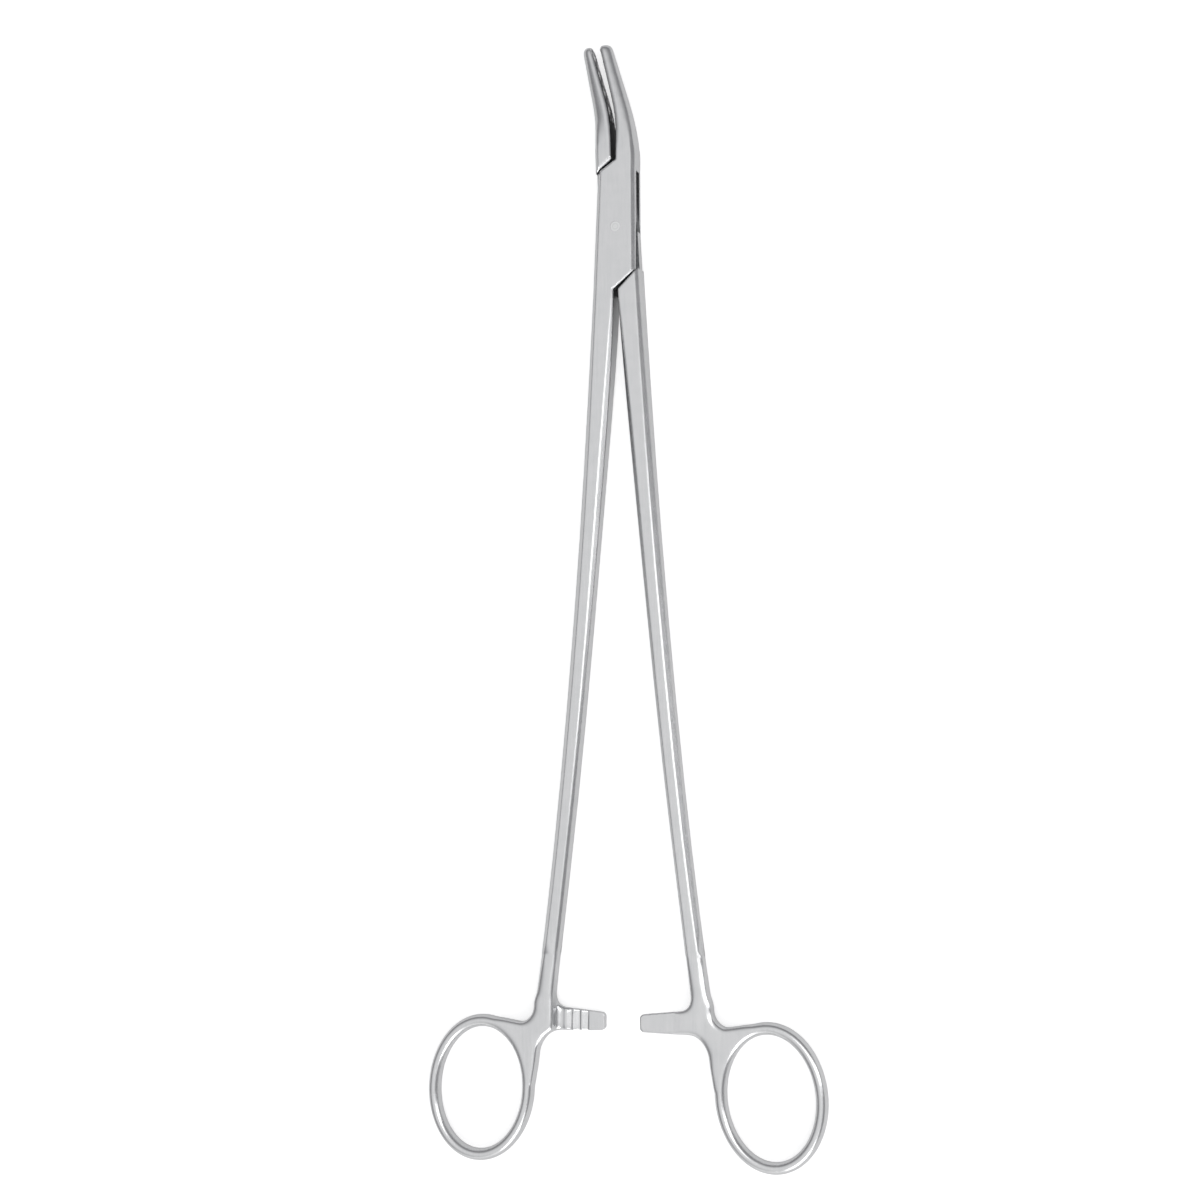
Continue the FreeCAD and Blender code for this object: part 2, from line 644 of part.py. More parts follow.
def make_box_half():
    """Left ring, shank, both cheeks of the box and the right jaw."""
    body = new_body("box_half", "-0.5")
    tip = face_points(HALF_JAW_GAP)
    crotch = (f"-sizes.jaw_crotch_shift + {HALF_JAW_GAP}", "sizes.front_seam_crotch")
    back = [(f"-{SHANK_GAP}", "-sizes.back_seam_crotch"), (f"-{SHANK_GAP}", "-sizes.shank_start")]
    bend_end = ("sizes.right_jaw_bend_end_side", "sizes.right_jaw_bend_end")
    points = [
        ("-sizes.shank_start_side", "-sizes.shank_start"),
        FRONT_LEFT,
        crotch,
        *tip,
        *tip_corners(1, tip[-1], "sizes.right_jaw_tip_width", bend_end),
        bend_end,
        ("sizes.right_jaw_bend_start_side", "sizes.right_jaw_bend_start"),
        ("sizes.box_right_front", "sizes.front_slot_side"),
        BACK_RIGHT,
        *back,
    ]
    bulges = {
        3: "sizes.jaw_bend_radius",
        6: "-sizes.jaw_tip_outer_round",
        8: "-sizes.right_jaw_bend_radius",
    }
    sketch = Outline(body, "box_and_jaw_outline").draw(points, bulges)
    doc.recompute()
    pad(body, "box_and_jaw", sketch, "sizes.box_thickness")
    taper_jaw(body)
    seams = [
        ([FRONT_LEFT, crotch], "sizes.seam_edge_break"),
        ([BACK_RIGHT, *back], "sizes.box_seam_bevel"),
    ]
    bevel_edges(body, [crotch, *tip], seams, "sizes.box_edge_bevel")
    shank(body, -1, "sizes.box_edge_bevel", "sizes.box_seam_bevel")
    web(body, -1)
    ratchet_arm(body, -1)
    ring(body, -1)
    beyond = "2 * sizes.box_side_back"
    slot = [
        (f"-{beyond}", "-sizes.back_slot_side + sizes.box_side_back"),
        ("-sizes.box_side_back", "-sizes.back_slot_side"),
        (f"-{SHANK_GAP}", "-sizes.back_seam_crotch"),
        (beyond, "-sizes.back_seam_side"),
        (beyond, "sizes.front_slot_side - sizes.box_side_back / 2"),
        ("sizes.box_right_front", "sizes.front_slot_side"),
        crotch,
        (f"-{beyond}", "sizes.front_seam_crotch"),
    ]
    sketch = Outline(body, "slot_outline").draw(slot)
    doc.recompute()
    pocket(body, "slot", sketch, SLOT)
    revolve(body, "PartDesign::Groove", "pin_seat", pin_profile(body, "pin_seat_outline", True))
    recess(body, 1)
    return body


def make_through_half():
    """Right ring, shank, the thin waist inside the box and the left jaw."""
    body = new_body("through_half", "0.5")
    gap = "sizes.seam_clearance"
    crotch_x = f"-sizes.jaw_crotch_shift - {HALF_JAW_GAP}"
    front_slope = (
        "(sizes.front_seam_crotch - sizes.front_seam_side)"
        " / (sizes.box_left_front - sizes.jaw_crotch_shift)"
    )
    back_slope = (
        "(sizes.back_seam_crotch - sizes.back_seam_side)"
        f" / (sizes.box_side_back + {SHANK_GAP})"
    )
    jaw_step = f"(sizes.box_left_front - sizes.left_jaw_root_side) * {front_slope}"
    shank_step = f"(sizes.shank_root_side - sizes.box_side_back) * {back_slope}"
    jaw_corner = ("-sizes.left_jaw_root_side", f"sizes.front_seam_side + {gap} + {jaw_step}")
    shank_corner = ("sizes.shank_root_side", f"{shank_step} - sizes.back_seam_side - {gap}")
    waist = [
        ("-sizes.box_side_back", f"-sizes.back_slot_side + {gap}"),
        (SHANK_GAP, f"-sizes.back_seam_crotch + {gap}"),
        (f"4 * {SHANK_GAP}", "-sizes.shank_start"),
        ("sizes.shank_start_side - sizes.through_edge_bevel", "-sizes.shank_start"),
        (shank_corner[0], f"{shank_corner[1]} - sizes.through_edge_bevel"),
        ("sizes.box_side_back", "-sizes.waist_bulge_back"),
        ("sizes.box_right_front - sizes.waist_inset", f"sizes.front_slot_side - {gap}"),
        (crotch_x, f"sizes.front_seam_crotch - {gap}"),
        (crotch_x, f"sizes.front_seam_crotch + {gap}"),
        (f"{jaw_corner[0]} + {gap}", f"{jaw_corner[1]} + sizes.through_edge_bevel"),
    ]
    sketch = Outline(body, "waist_outline").draw(waist)
    doc.recompute()
    pad(body, "waist", sketch, "sizes.waist_thickness")
    face = face_points(f"-{HALF_JAW_GAP}")
    bend_end = ("-sizes.left_jaw_bend_end_side", "sizes.left_jaw_bend_end")
    jaw = [
        jaw_corner,
        (crotch_x, f"sizes.front_seam_crotch + {gap}"),
        *face,
        *tip_corners(-1, face[-1], "sizes.left_jaw_tip_width", bend_end),
        bend_end,
        ("-sizes.left_jaw_bend_start_side", "sizes.left_jaw_bend_start"),
    ]
    bulges = {
        2: "sizes.jaw_bend_radius",
        5: "sizes.jaw_tip_outer_round",
        7: "-sizes.left_jaw_bend_radius",
    }
    sketch = Outline(body, "jaw_outline").draw(jaw, bulges)
    doc.recompute()
    pad(body, "jaw", sketch, "sizes.box_thickness")
    taper_jaw(body)
    root = [
        shank_corner,
        (SHANK_GAP, f"-sizes.back_seam_crotch - {gap}"),
        (SHANK_GAP, "-sizes.shank_start"),
        ("sizes.shank_start_side", "-sizes.shank_start"),
    ]
    sketch = Outline(body, "shank_root_outline").draw(root)
    doc.recompute()
    pad(body, "shank_root", sketch, "sizes.box_thickness")
    seams = [(jaw[:2], "sizes.jaw_seam_bevel"), (root[:3], "sizes.seam_edge_break")]
    bevel_edges(body, [jaw[1], *face], seams, "sizes.through_edge_bevel")
    shank(body, 1, "sizes.through_edge_bevel", "sizes.seam_edge_break")
    web(body, 1)
    ratchet_arm(body, 1)
    ring(body, 1)
    bore(body, "sizes.pin_radius + sizes.pin_clearance")
    recess(body, -1)
    return body


def square_edge(shape, edge):
    """True for an edge of the front or back surface that still has an upright face beside it."""
    point = middle(edge)
    if abs(point.z) < size("waist_thickness") / 2 + size("seam_clearance"):
        return False
    slopes = []
    for face in shape.ancestorsOfType(edge, Part.Face):
        slopes.append(abs(face.normalAt(*face.Surface.parameter(point)).z))
    return len(slopes) == 2 and min(slopes) < 0.05 and max(slopes) > 0.95


def bevel_edges(body, face, seams, outer_width):
    """Bevels the jaw's face, the seams and the outer edges, each with its own width."""
    outline = Outline(body, "bevel_corners")

    def near(corner, vertex):
        reach = size("through_edge_bevel")
        return math.hypot(vertex.X - corner[0], vertex.Y - corner[1]) < reach

    def along(points):
        corners = [(outline.value(x), outline.value(y)) for x, y in points]

        def test(edge):
            ends = [any(near(corner, end) for corner in corners) for end in edge.Vertexes]
            return all(ends) and square_edge(body.Tip.Shape, edge)

        return test

    def outer(edge):
        at_shank = all(abs(end.Y + size("shank_start")) < 0.01 for end in edge.Vertexes)
        return not at_shank and square_edge(body.Tip.Shape, edge)

    tests = [(along(face), "sizes.jaw_face_bevel")]
    tests += [(along(seam), width) for seam, width in seams]
    tests.append((outer, outer_width))
    number = 0
    for test, width in tests:
        while edges_where(body.Tip.Shape, test):
            number += 1
            bevel(body, f"bevel_{number}", test, width)


box_half = make_box_half()
through_half = make_through_half()
pin = new_body("pivot_pin", "-0.5")
profile = pin_profile(pin, "pin_outline")
revolve(pin, "PartDesign::Revolution", "rivet", profile)
insert("box_jaw_insert", 1, "-0.5")
insert("through_jaw_insert", -1, "0.5")
doc.recompute()

for thing in doc.Objects:
    if "Invalid" in thing.State or "Error" in thing.State:
        raise RuntimeError(f"{thing.Name} failed: {thing.State}")
os.makedirs("parts", exist_ok=True)
for body in doc.findObjects("PartDesign::Body"):
    shape = body.Shape
    if shape.isNull() or not shape.isValid() or len(shape.Solids) != 1:
        raise RuntimeError(f"{body.Label} is not one valid solid")
for body in doc.findObjects("PartDesign::Body"):
    body.Shape.exportStep(f"parts/{body.Label}.step")
    print(body.Label, round(body.Shape.Volume, 2), body.Shape.BoundBox)
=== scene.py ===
import math

import bpy
from mathutils import Matrix, Vector


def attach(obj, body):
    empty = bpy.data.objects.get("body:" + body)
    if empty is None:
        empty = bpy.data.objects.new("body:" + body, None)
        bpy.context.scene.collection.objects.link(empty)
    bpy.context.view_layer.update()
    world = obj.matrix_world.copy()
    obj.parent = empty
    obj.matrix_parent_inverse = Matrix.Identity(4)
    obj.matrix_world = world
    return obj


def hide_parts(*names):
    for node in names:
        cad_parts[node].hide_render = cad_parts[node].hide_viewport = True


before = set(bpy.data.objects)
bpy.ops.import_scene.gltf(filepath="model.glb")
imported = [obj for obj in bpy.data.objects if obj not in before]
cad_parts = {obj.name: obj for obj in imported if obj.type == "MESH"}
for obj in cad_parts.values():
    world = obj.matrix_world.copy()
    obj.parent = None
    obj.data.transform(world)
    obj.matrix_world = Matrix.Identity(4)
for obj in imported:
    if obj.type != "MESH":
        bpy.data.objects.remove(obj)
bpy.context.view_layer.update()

MM = 0.001
LEFT, RIGHT = -1, 1

# Camera at the photograph's angle: turned to the instrument's right, looking a little towards the
# jaws, with hardly any roll. Its lens and sensor are in millimetres.
CAMERA_PLACE = Vector((0.1626, -0.1308, 0.5194))
CAMERA_TURN = math.radians(18)
CAMERA_TILT = math.radians(4.415)
CAMERA_ROLL = math.radians(-0.274)
CAMERA_LENS, CAMERA_SENSOR = 68.95, 36
CAMERA_NEAREST = 0.01

# Middle of the instrument's length, which the softboxes face.
LIGHTS_AIM = Vector((0, -0.09, 0))

TABLE_SIZE = 8
TABLE_DROP = 0.02 * MM

# Heights run along Y from the rivet's axis. Box and shanks stay crisp. Above and below the cuts
# the jaws and the handles are shaped as soft forgings, which overlap the crisp part a little
# before they are joined to it.
JAW_ROOT_HEIGHT = 19
JAW_CUT = JAW_ROOT_HEIGHT * MM
HANDLE_CUT = -172 * MM
OVERLAP = 2 * MM
JOIN_GAP = 0.2 * MM
JAW_VOXEL, HANDLE_VOXEL = 0.16 * MM, 0.18 * MM

# How many times a forging is smoothed, and how far its skin then grows to give back the thickness
# that the smoothing takes.
JAW_SMOOTHING, HANDLE_SMOOTHING = 120, 160
JAW_GROWTH, HANDLE_GROWTH = 0.2 * MM, 0.15 * MM

# Distance within which points are merged, distance from a cut's plane at which a point lies on it,
# and the angle above which an edge stays sharp.
MERGE_DISTANCE = 0.001 * MM
CUT_TOLERANCE = 0.0001 * MM
SHARP_ANGLE = math.radians(30)

# Middle of the box from back to front, in millimetres.
BOX_MIDDLE = 3

# The jaws' meeting line in millimetres, with the jaws shut: straight, a bend, straight again.
REST_TURN = math.radians(2.3 / 2)
CROTCH_SIDE, CROTCH_HEIGHT = -0.485, 16.4
BEND_HEIGHT, BEND_RADIUS = 21.5, 40
ROOT_LEAN, TIP_LEAN = math.radians(0.45), math.radians(14.75)
JAW_TIP_HEIGHT = 45

# Each jaw's width in millimetres at its root and at its tip, and how far its back is thinned: at 1
# it would be an edge.
JAW_WIDTHS = {LEFT: (4.3, 2.25), RIGHT: (5.0, 2.6)}
BACK_THINNING = 0.8
BACK_BANDS = 10

# Where the shaping of a jaw starts and where it is full, in millimetres: by height for its back
# and for its domed tip, and by depth from the meeting line.
BACK_HEIGHTS = (19.5, 27)
TIP_HEIGHTS = (JAW_TIP_HEIGHT - 1.0, JAW_TIP_HEIGHT - 0.3)
BACK_DEPTHS = (0.3, 1.1)

# Numbers of a mix node's sockets: its factor, and what it mixes and gives out, for vectors and for
# colours.
FACTOR = 0
VECTOR_A, VECTOR_B, VECTOR_OUT = 4, 5, 1
COLOUR_A, COLOUR_B, COLOUR_OUT = 6, 7, 2

# At scale 1 a wave texture draws this many bands to one unit of its place.
WAVES_PER_UNIT = 20 / (2 * math.pi)


def linear(code):
    """Linear colour of an sRGB hex code."""
    parts = [int(code[i:i + 2], 16) / 255 for i in (1, 3, 5)]
    return [c / 12.92 if c <= 0.04045 else ((c + 0.055) / 1.055) ** 2.4 for c in parts] + [1]


def add(tree, kind, inputs=None, **settings):
    """Adds a node with its settings; an input is a value, or a socket to link it to."""
    node = tree.nodes.new(kind)
    for name, value in settings.items():
        setattr(node, name, value)
    for name, value in (inputs or {}).items():
        if isinstance(value, bpy.types.NodeSocket):
            tree.links.new(value, node.inputs[name])
        else:
            node.inputs[name].default_value = value
    return node


def new_material(name):
    """An empty material and its node tree."""
    material = bpy.data.materials.new(name)
    material.use_nodes = True
    material.node_tree.nodes.clear()
    return material, material.node_tree


def set_stops(node, stops):
    """Gives a colour ramp node its stops, each a place and an sRGB code."""
    elements = node.color_ramp.elements
    while len(elements) < len(stops):
        elements.new(0.5)
    for element, (place, code) in zip(elements, stops):
        element.position = place
        element.color = linear(code)


def wave_scale(spacing):
    """Scale of a wave texture whose bands lie a spacing apart."""
    return 1 / (spacing * WAVES_PER_UNIT)


# Finishes

def satin_steel():
    """Satin ground stainless steel: glass-beaded and brushed along its length, so flats look
    soft and even, with faint lengthwise streaks and cloudy patches, and edges catch the light."""
    material, tree = new_material("satin ground stainless steel")
    place = add(tree, "ShaderNodeTexCoord").outputs["Object"]
    # Brush marks are about 0.05 mm wide; they are drawn wider, and long, to show.
    streak_width, streak_length = 0.3 * MM, 8 * MM
    along = add(tree, "ShaderNodeMapping",
                {"Vector": place, "Scale": (1, streak_width / streak_length, 1)})
    streaks = add(tree, "ShaderNodeTexNoise",
                  {"Vector": along.outputs[0], "Scale": 1 / streak_width, "Detail": 3.0})
    cloud_size = 3 * MM
    clouds = add(tree, "ShaderNodeTexNoise",
                 {"Vector": place, "Scale": 1 / cloud_size, "Detail": 4.0, "Roughness": 0.6})
    both = add(tree, "ShaderNodeMath",
               {0: streaks.outputs["Fac"], 1: clouds.outputs["Fac"]}, operation="ADD")
    # The sum of the two lies between these values nearly everywhere.
    weakest, strongest = 0.6, 1.4
    tone = add(tree, "ShaderNodeMapRange",
               {"Value": both.outputs[0], "From Min": weakest, "From Max": strongest})
    colour = add(tree, "ShaderNodeValToRGB", {"Fac": tone.outputs[0]})
    set_stops(colour, [(0, "#D0D1D2"), (1, "#DADADB")])
    roughness, drift = 0.24, 0.03
    gloss = add(tree, "ShaderNodeMapRange",
                {"Value": both.outputs[0], "From Min": weakest, "From Max": strongest,
                 "To Min": roughness - drift, "To Max": roughness + drift})
    # Polishing rounds the edges, so they shine as a thin soft line. Round the rivet both parts
    # were ground together, so no edge is rounded near its axis, and the handles' own mesh is
    # already rounded. Each fades from sharp to rounded between two distances or heights.
    edge_radius = 0.6 * MM
    ground_to, rounded_from = 2.9 * MM, 3.2 * MM
    handles_to, shanks_from = -182 * MM, -178 * MM
    edge = add(tree, "ShaderNodeBevel", {"Radius": edge_radius}, samples=8)
    flat = add(tree, "ShaderNodeNewGeometry").outputs["Normal"]
    across = add(tree, "ShaderNodeVectorMath", {0: place, 1: (1, 1, 0)}, operation="MULTIPLY")
    from_rivet = add(tree, "ShaderNodeVectorMath", {0: across.outputs[0]}, operation="LENGTH")
    away = add(tree, "ShaderNodeMapRange",
               {"Value": from_rivet.outputs["Value"],
                "From Min": ground_to, "From Max": rounded_from})
    height = add(tree, "ShaderNodeSeparateXYZ", {0: place}).outputs["Y"]
    above = add(tree, "ShaderNodeMapRange",
                {"Value": height, "From Min": handles_to, "From Max": shanks_from})
    rounded = add(tree, "ShaderNodeMath",
                  {0: away.outputs[0], 1: above.outputs[0]}, operation="MULTIPLY")
    normal = add(tree, "ShaderNodeMix",
                 {FACTOR: rounded.outputs[0], VECTOR_A: flat, VECTOR_B: edge.outputs[0]},
                 data_type="VECTOR")
    bump = add(tree, "ShaderNodeBump",
               {"Height": streaks.outputs["Fac"], "Strength": 0.04, "Distance": 0.01 * MM,
                "Normal": normal.outputs[VECTOR_OUT]})
    surface = add(tree, "ShaderNodeBsdfPrincipled",
                  {"Base Color": colour.outputs[0], "Metallic": 1.0,
                   "Roughness": gloss.outputs[0], "Normal": bump.outputs[0]})
    add(tree, "ShaderNodeOutputMaterial", {"Surface": surface.outputs[0]})
    return material


def dull_steel_painted_shade():
    """Dark steel as painted shade, inside the box and on the jaws' meeting faces where shade
    falls:
    it is dull, with slightly uneven cutter marks across it."""
    material, tree = new_material("dull steel with painted shade")
    place = add(tree, "ShaderNodeTexCoord").outputs["Object"]
    mark_spacing, grit_size = 2.513 * MM, 0.4 * MM
    marks = add(tree, "ShaderNodeTexWave",
                {"Vector": place, "Scale": wave_scale(mark_spacing), "Distortion": 1.5,
                 "Detail": 2.0},
                wave_type="BANDS", bands_direction="Y")
    grit = add(tree, "ShaderNodeTexNoise",
               {"Vector": place, "Scale": 1 / grit_size, "Detail": 3.0})
    colour = add(tree, "ShaderNodeValToRGB", {"Fac": grit.outputs["Fac"]})
    # Dark grey, mottled at random: painted shade.
    set_stops(colour, [(0.3, "#4C4D4F"), (0.7, "#7E7F81")])
    bump = add(tree, "ShaderNodeBump",
               {"Height": marks.outputs["Fac"], "Strength": 0.4, "Distance": 0.03 * MM})
    surface = add(tree, "ShaderNodeBsdfPrincipled",
                  {"Base Color": colour.outputs[0], "Metallic": 1.0, "Roughness": 0.5,
                   "Normal": bump.outputs[0]})
    add(tree, "ShaderNodeOutputMaterial", {"Surface": surface.outputs[0]})
    return material


def ground_rivet_end():
    """Rivet end ground flush with the box: fine rings round its centre, a touch lighter."""
    material, tree = new_material("ground rivet end")
    place = add(tree, "ShaderNodeTexCoord").outputs["Object"]
    ring_spacing = 0.6283 * MM
    rings = add(tree, "ShaderNodeTexWave",
                {"Vector": place, "Scale": wave_scale(ring_spacing), "Distortion": 0.6,
                 "Detail": 2.0},
                wave_type="RINGS", rings_direction="Z")
    colour = add(tree, "ShaderNodeValToRGB", {"Fac": rings.outputs["Fac"]})
    set_stops(colour, [(0, "#D9DADA"), (1, "#E4E5E5")])
    bump = add(tree, "ShaderNodeBump",
               {"Height": rings.outputs["Fac"], "Strength": 0.15, "Distance": 0.01 * MM})
    surface = add(tree, "ShaderNodeBsdfPrincipled",
                  {"Base Color": colour.outputs[0], "Metallic": 1.0, "Roughness": 0.3,
                   "Normal": bump.outputs[0]})
    add(tree, "ShaderNodeOutputMaterial", {"Surface": surface.outputs[0]})
    return material


def cross_cut_hard_metal():
    """Sintered hard metal with a cross-cut gripping face: duller than the steel, with a painted
    highlight on its crests and painted shade in its cuts, so that it shows as a speckled strip."""
    material, tree = new_material("cross-cut hard metal")
    place = add(tree, "ShaderNodeTexCoord").outputs["Object"]
    # Two sets of cuts that cross at right angles on the gripping face. They are drawn wider apart
    # than real ones, which are about 0.5 mm apart.
    cut_spacing = 3.1416 * MM
    cuts = []
    for turn in (45, -45):
        turned = add(tree, "ShaderNodeMapping",
                     {"Vector": place, "Rotation": (math.radians(turn), 0, 0)})
        cuts.append(add(tree, "ShaderNodeTexWave",
                        {"Vector": turned.outputs[0], "Scale": wave_scale(cut_spacing)},
                        wave_type="BANDS", bands_direction="Y", wave_profile="TRI"))
    diamonds = add(tree, "ShaderNodeMath",
                   {0: cuts[0].outputs["Fac"], 1: cuts[1].outputs["Fac"]}, operation="MINIMUM")
    # Light on the crests and grey in the cuts: painted highlight and painted shade.
    colour = add(tree, "ShaderNodeValToRGB", {"Fac": diamonds.outputs[0]})
    set_stops(colour, [(0.1, "#8A8A8C"), (0.6, "#FAFAFA")])
    bump = add(tree, "ShaderNodeBump",
               {"Height": diamonds.outputs[0], "Strength": 1.0, "Distance": 0.2 * MM})
    surface = add(tree, "ShaderNodeBsdfPrincipled",
                  {"Base Color": colour.outputs[0], "Metallic": 1.0, "Roughness": 0.5,
                   "Normal": bump.outputs[0]})
    add(tree, "ShaderNodeOutputMaterial", {"Surface": surface.outputs[0]})
    return material


def pale_table():
    """Matt white table that is lifted to white for the camera, a little for its reflection in
    the metal, and keeps the shadows."""
    material, tree = new_material("pale table")
    camera_lift, mirror_lift = 0.55, 0.1
    rays = add(tree, "ShaderNodeLightPath").outputs
    seen = add(tree, "ShaderNodeMath",
               {0: rays["Is Camera Ray"], 1: camera_lift}, operation="MULTIPLY")
    either = add(tree, "ShaderNodeMath",
                 {0: rays["Is Glossy Ray"], 1: rays["Is Transmission Ray"]},
                 operation="MAXIMUM")
    mirrored = add(tree, "ShaderNodeMath",
                   {0: either.outputs[0], 1: mirror_lift}, operation="MULTIPLY")
    glow = add(tree, "ShaderNodeMath",
               {0: seen.outputs[0], 1: mirrored.outputs[0]}, operation="ADD")
    white = add(tree, "ShaderNodeEmission",
                {"Color": linear("#FFFFFF"), "Strength": glow.outputs[0]})
    matt = add(tree, "ShaderNodeBsdfDiffuse", {"Color": linear("#DEDEDE")})
    both = add(tree, "ShaderNodeAddShader", {0: white.outputs[0], 1: matt.outputs[0]})
    add(tree, "ShaderNodeOutputMaterial", {"Surface": both.outputs[0]})
    return material


# Modelling

def pick(piece):
    """Makes the piece the only selected and active object."""
    bpy.ops.object.select_all(action="DESELECT")
    piece.select_set(True)
    bpy.context.view_layer.objects.active = piece


def clean_copy(node, name):
    """A merged copy of a CAD node's mesh, to work on."""
    piece = bpy.data.objects.new(name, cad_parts[node].data.copy())
    bpy.context.scene.collection.objects.link(piece)
    pick(piece)
    bpy.ops.object.mode_set(mode="EDIT")
    bpy.ops.mesh.select_all(action="SELECT")
    bpy.ops.mesh.remove_doubles(threshold=MERGE_DISTANCE)
    bpy.ops.mesh.customdata_custom_splitnormals_clear()
    bpy.ops.object.mode_set(mode="OBJECT")
    return piece


def cut_off(piece, height, keep_above, fill):
    """Cuts the piece across at a height along Y and keeps one side."""
    pick(piece)
    bpy.ops.object.mode_set(mode="EDIT")
    bpy.ops.mesh.select_all(action="SELECT")
    bpy.ops.mesh.bisect(plane_co=(0, height, 0), plane_no=(0, 1, 0), use_fill=fill,
                        clear_inner=keep_above, clear_outer=not keep_above,
                        threshold=CUT_TOLERANCE)
    bpy.ops.object.mode_set(mode="OBJECT")


def apply(piece, kind, name, **settings):
    """Adds a modifier with its settings and applies it."""
    modifier = piece.modifiers.new(name, kind)
    for key, value in settings.items():
        setattr(modifier, key, value)
    pick(piece)
    bpy.ops.object.modifier_apply(modifier=name)


def weigh(piece, name, weight):
    """Vertex group whose weight is a function of the place, in millimetres."""
    group = piece.vertex_groups.new(name=name)
    for vertex in piece.data.vertices:
        group.add([vertex.index], weight(vertex.co / MM), "REPLACE")


def ramp(value, start, end):
    """0 before start, 1 after end, and even between them."""
    return min(max((value - start) / (end - start), 0), 1)


def forge(half, height, above, voxel):
    """A copy of the half's part beyond a height, as a fine even mesh."""
    pick(half)
    bpy.ops.object.duplicate()
    part = bpy.context.object
    outward = 1 if above else -1
    cut_off(part, height - outward * OVERLAP, above, True)
    apply(part, "REMESH", "forging", mode="VOXEL", voxel_size=voxel)
    return part


def soften(part, height, above, weight, smoothing, growth):
    """Softens the part where the weight allows and cuts it to meet the crisp part. Growth gives
    back the thickness that the smoothing takes."""
    outward = 1 if above else -1
    weigh(part, "softness", weight)
    apply(part, "SMOOTH", "softening", factor=0.5, iterations=smoothing, vertex_group="softness")
    apply(part, "DISPLACE", "growth", strength=growth, mid_level=0, vertex_group="softness")
    cut_off(part, height + outward * JOIN_GAP, above, False)


def handle_softness(side):
    """Full on the web and the shank's end, less on the thin ring, least on the toothed arm."""
    # Heights and sides in millimetres where a share starts and where it is full.
    shank_end, above_arm, below_arm = (-173, -179), (-181, -178), (-197, -199)
    past_arm = (12.5, 15)
    ring_heights, ring_sides = (-193, -199), (20, 24)
    shank_heights = (-182, -178)
    ring_relief = 0.55
    least_on_arm, more_on_shank = 0.05, 0.05

    def weight(place):
        off_arm = max(ramp(side * place.x, *past_arm), ramp(place.y, *above_arm),
                      ramp(place.y, *below_arm))
        ring = ramp(place.y, *ring_heights) * ramp(side * place.x, *ring_sides)
        least = least_on_arm + more_on_shank * ramp(place.y, *shank_heights)
        return max(ramp(place.y, *shank_end) * off_arm * (1 - ring_relief * ring), least)

    return weight


def meeting_side(height):
    """Side position of the jaws' meeting line at a height, with the jaws shut."""
    bend_start = CROTCH_SIDE - (BEND_HEIGHT - CROTCH_HEIGHT) * math.tan(ROOT_LEAN)
    bend_end = BEND_HEIGHT + BEND_RADIUS * (math.sin(TIP_LEAN) - math.sin(ROOT_LEAN))
    if height < BEND_HEIGHT:
        return CROTCH_SIDE - (height - CROTCH_HEIGHT) * math.tan(ROOT_LEAN)
    at = min(height, bend_end)
    lean = math.asin(math.sin(ROOT_LEAN) + (at - BEND_HEIGHT) / BEND_RADIUS)
    side = bend_start - BEND_RADIUS * (math.cos(ROOT_LEAN) - math.cos(lean))
    return side - (height - at) * math.tan(TIP_LEAN)


def from_meeting_line(jaw, place):
    """Distance of a place, in millimetres, from its own jaw's meeting line, and its height."""
    shut = Matrix.Rotation(jaw * REST_TURN, 2) @ place.xy
    return jaw * (shut.x - meeting_side(shut.y)), shut.y


def thin_back(part, jaw):
    """Thins the jaw towards its back, band by band, so that its section becomes a D."""
    pick(part)
    root_width, tip_width = JAW_WIDTHS[jaw]
    half_band = 0.5 / BACK_BANDS
    before = 1
    for band in range(1, BACK_BANDS + 1):
        share = band / BACK_BANDS
        after = math.sqrt(1 - (BACK_THINNING * share) ** 2)
        bpy.ops.object.mode_set(mode="EDIT")
        bpy.ops.mesh.select_mode(type="VERT")
        bpy.ops.mesh.select_all(action="DESELECT")
        bpy.ops.object.mode_set(mode="OBJECT")
        for vertex in part.data.vertices:
            depth, height = from_meeting_line(jaw, vertex.co / MM)
            along = ramp(height, JAW_ROOT_HEIGHT, JAW_TIP_HEIGHT)
            width = root_width + (tip_width - root_width) * along
            vertex.select = depth / width * ramp(height, *BACK_HEIGHTS) > share - half_band
        bpy.ops.object.mode_set(mode="EDIT")
        bpy.ops.transform.resize(value=(1, 1, after / before),
                                 center_override=(0, 0, BOX_MIDDLE * MM))
        bpy.ops.object.mode_set(mode="OBJECT")
        before = after


def jaw_softness(jaw):
    """Full along the jaw's back and at its tip, none at the gripping face and the root."""

    def weight(place):
        depth, height = from_meeting_line(jaw, place)
        back = ramp(depth, *BACK_DEPTHS) * ramp(height, *BACK_HEIGHTS)
        return max(back, ramp(height, *TIP_HEIGHTS))

    return weight


def join_parts(half, handle, tip):
    """Joins the soft parts to the crisp one and bridges the thin gaps between them."""
    cut_off(half, HANDLE_CUT, True, False)
    cut_off(half, JAW_CUT, False, False)
    for height, part in ((HANDLE_CUT, handle), (JAW_CUT, tip)):
        pick(half)
        part.select_set(True)
        bpy.ops.object.join()
        bpy.ops.object.mode_set(mode="EDIT")
        bpy.ops.mesh.select_mode(type="EDGE")
        bpy.ops.mesh.select_all(action="DESELECT")
        bpy.ops.mesh.select_non_manifold(extend=False, use_wire=False, use_multi_face=False,
                                         use_non_contiguous=False, use_verts=False)
        bpy.ops.object.mode_set(mode="OBJECT")
        for edge in half.data.edges:
            middle = sum(half.data.vertices[i].co.y for i in edge.vertices) / 2
            edge.select = edge.select and abs(middle - height) < 2 * JOIN_GAP
        bpy.ops.object.mode_set(mode="EDIT")
        bpy.ops.mesh.bridge_edge_loops()
        bpy.ops.object.mode_set(mode="OBJECT")
    pick(half)
    bpy.ops.object.shade_smooth_by_angle(angle=SHARP_ANGLE)


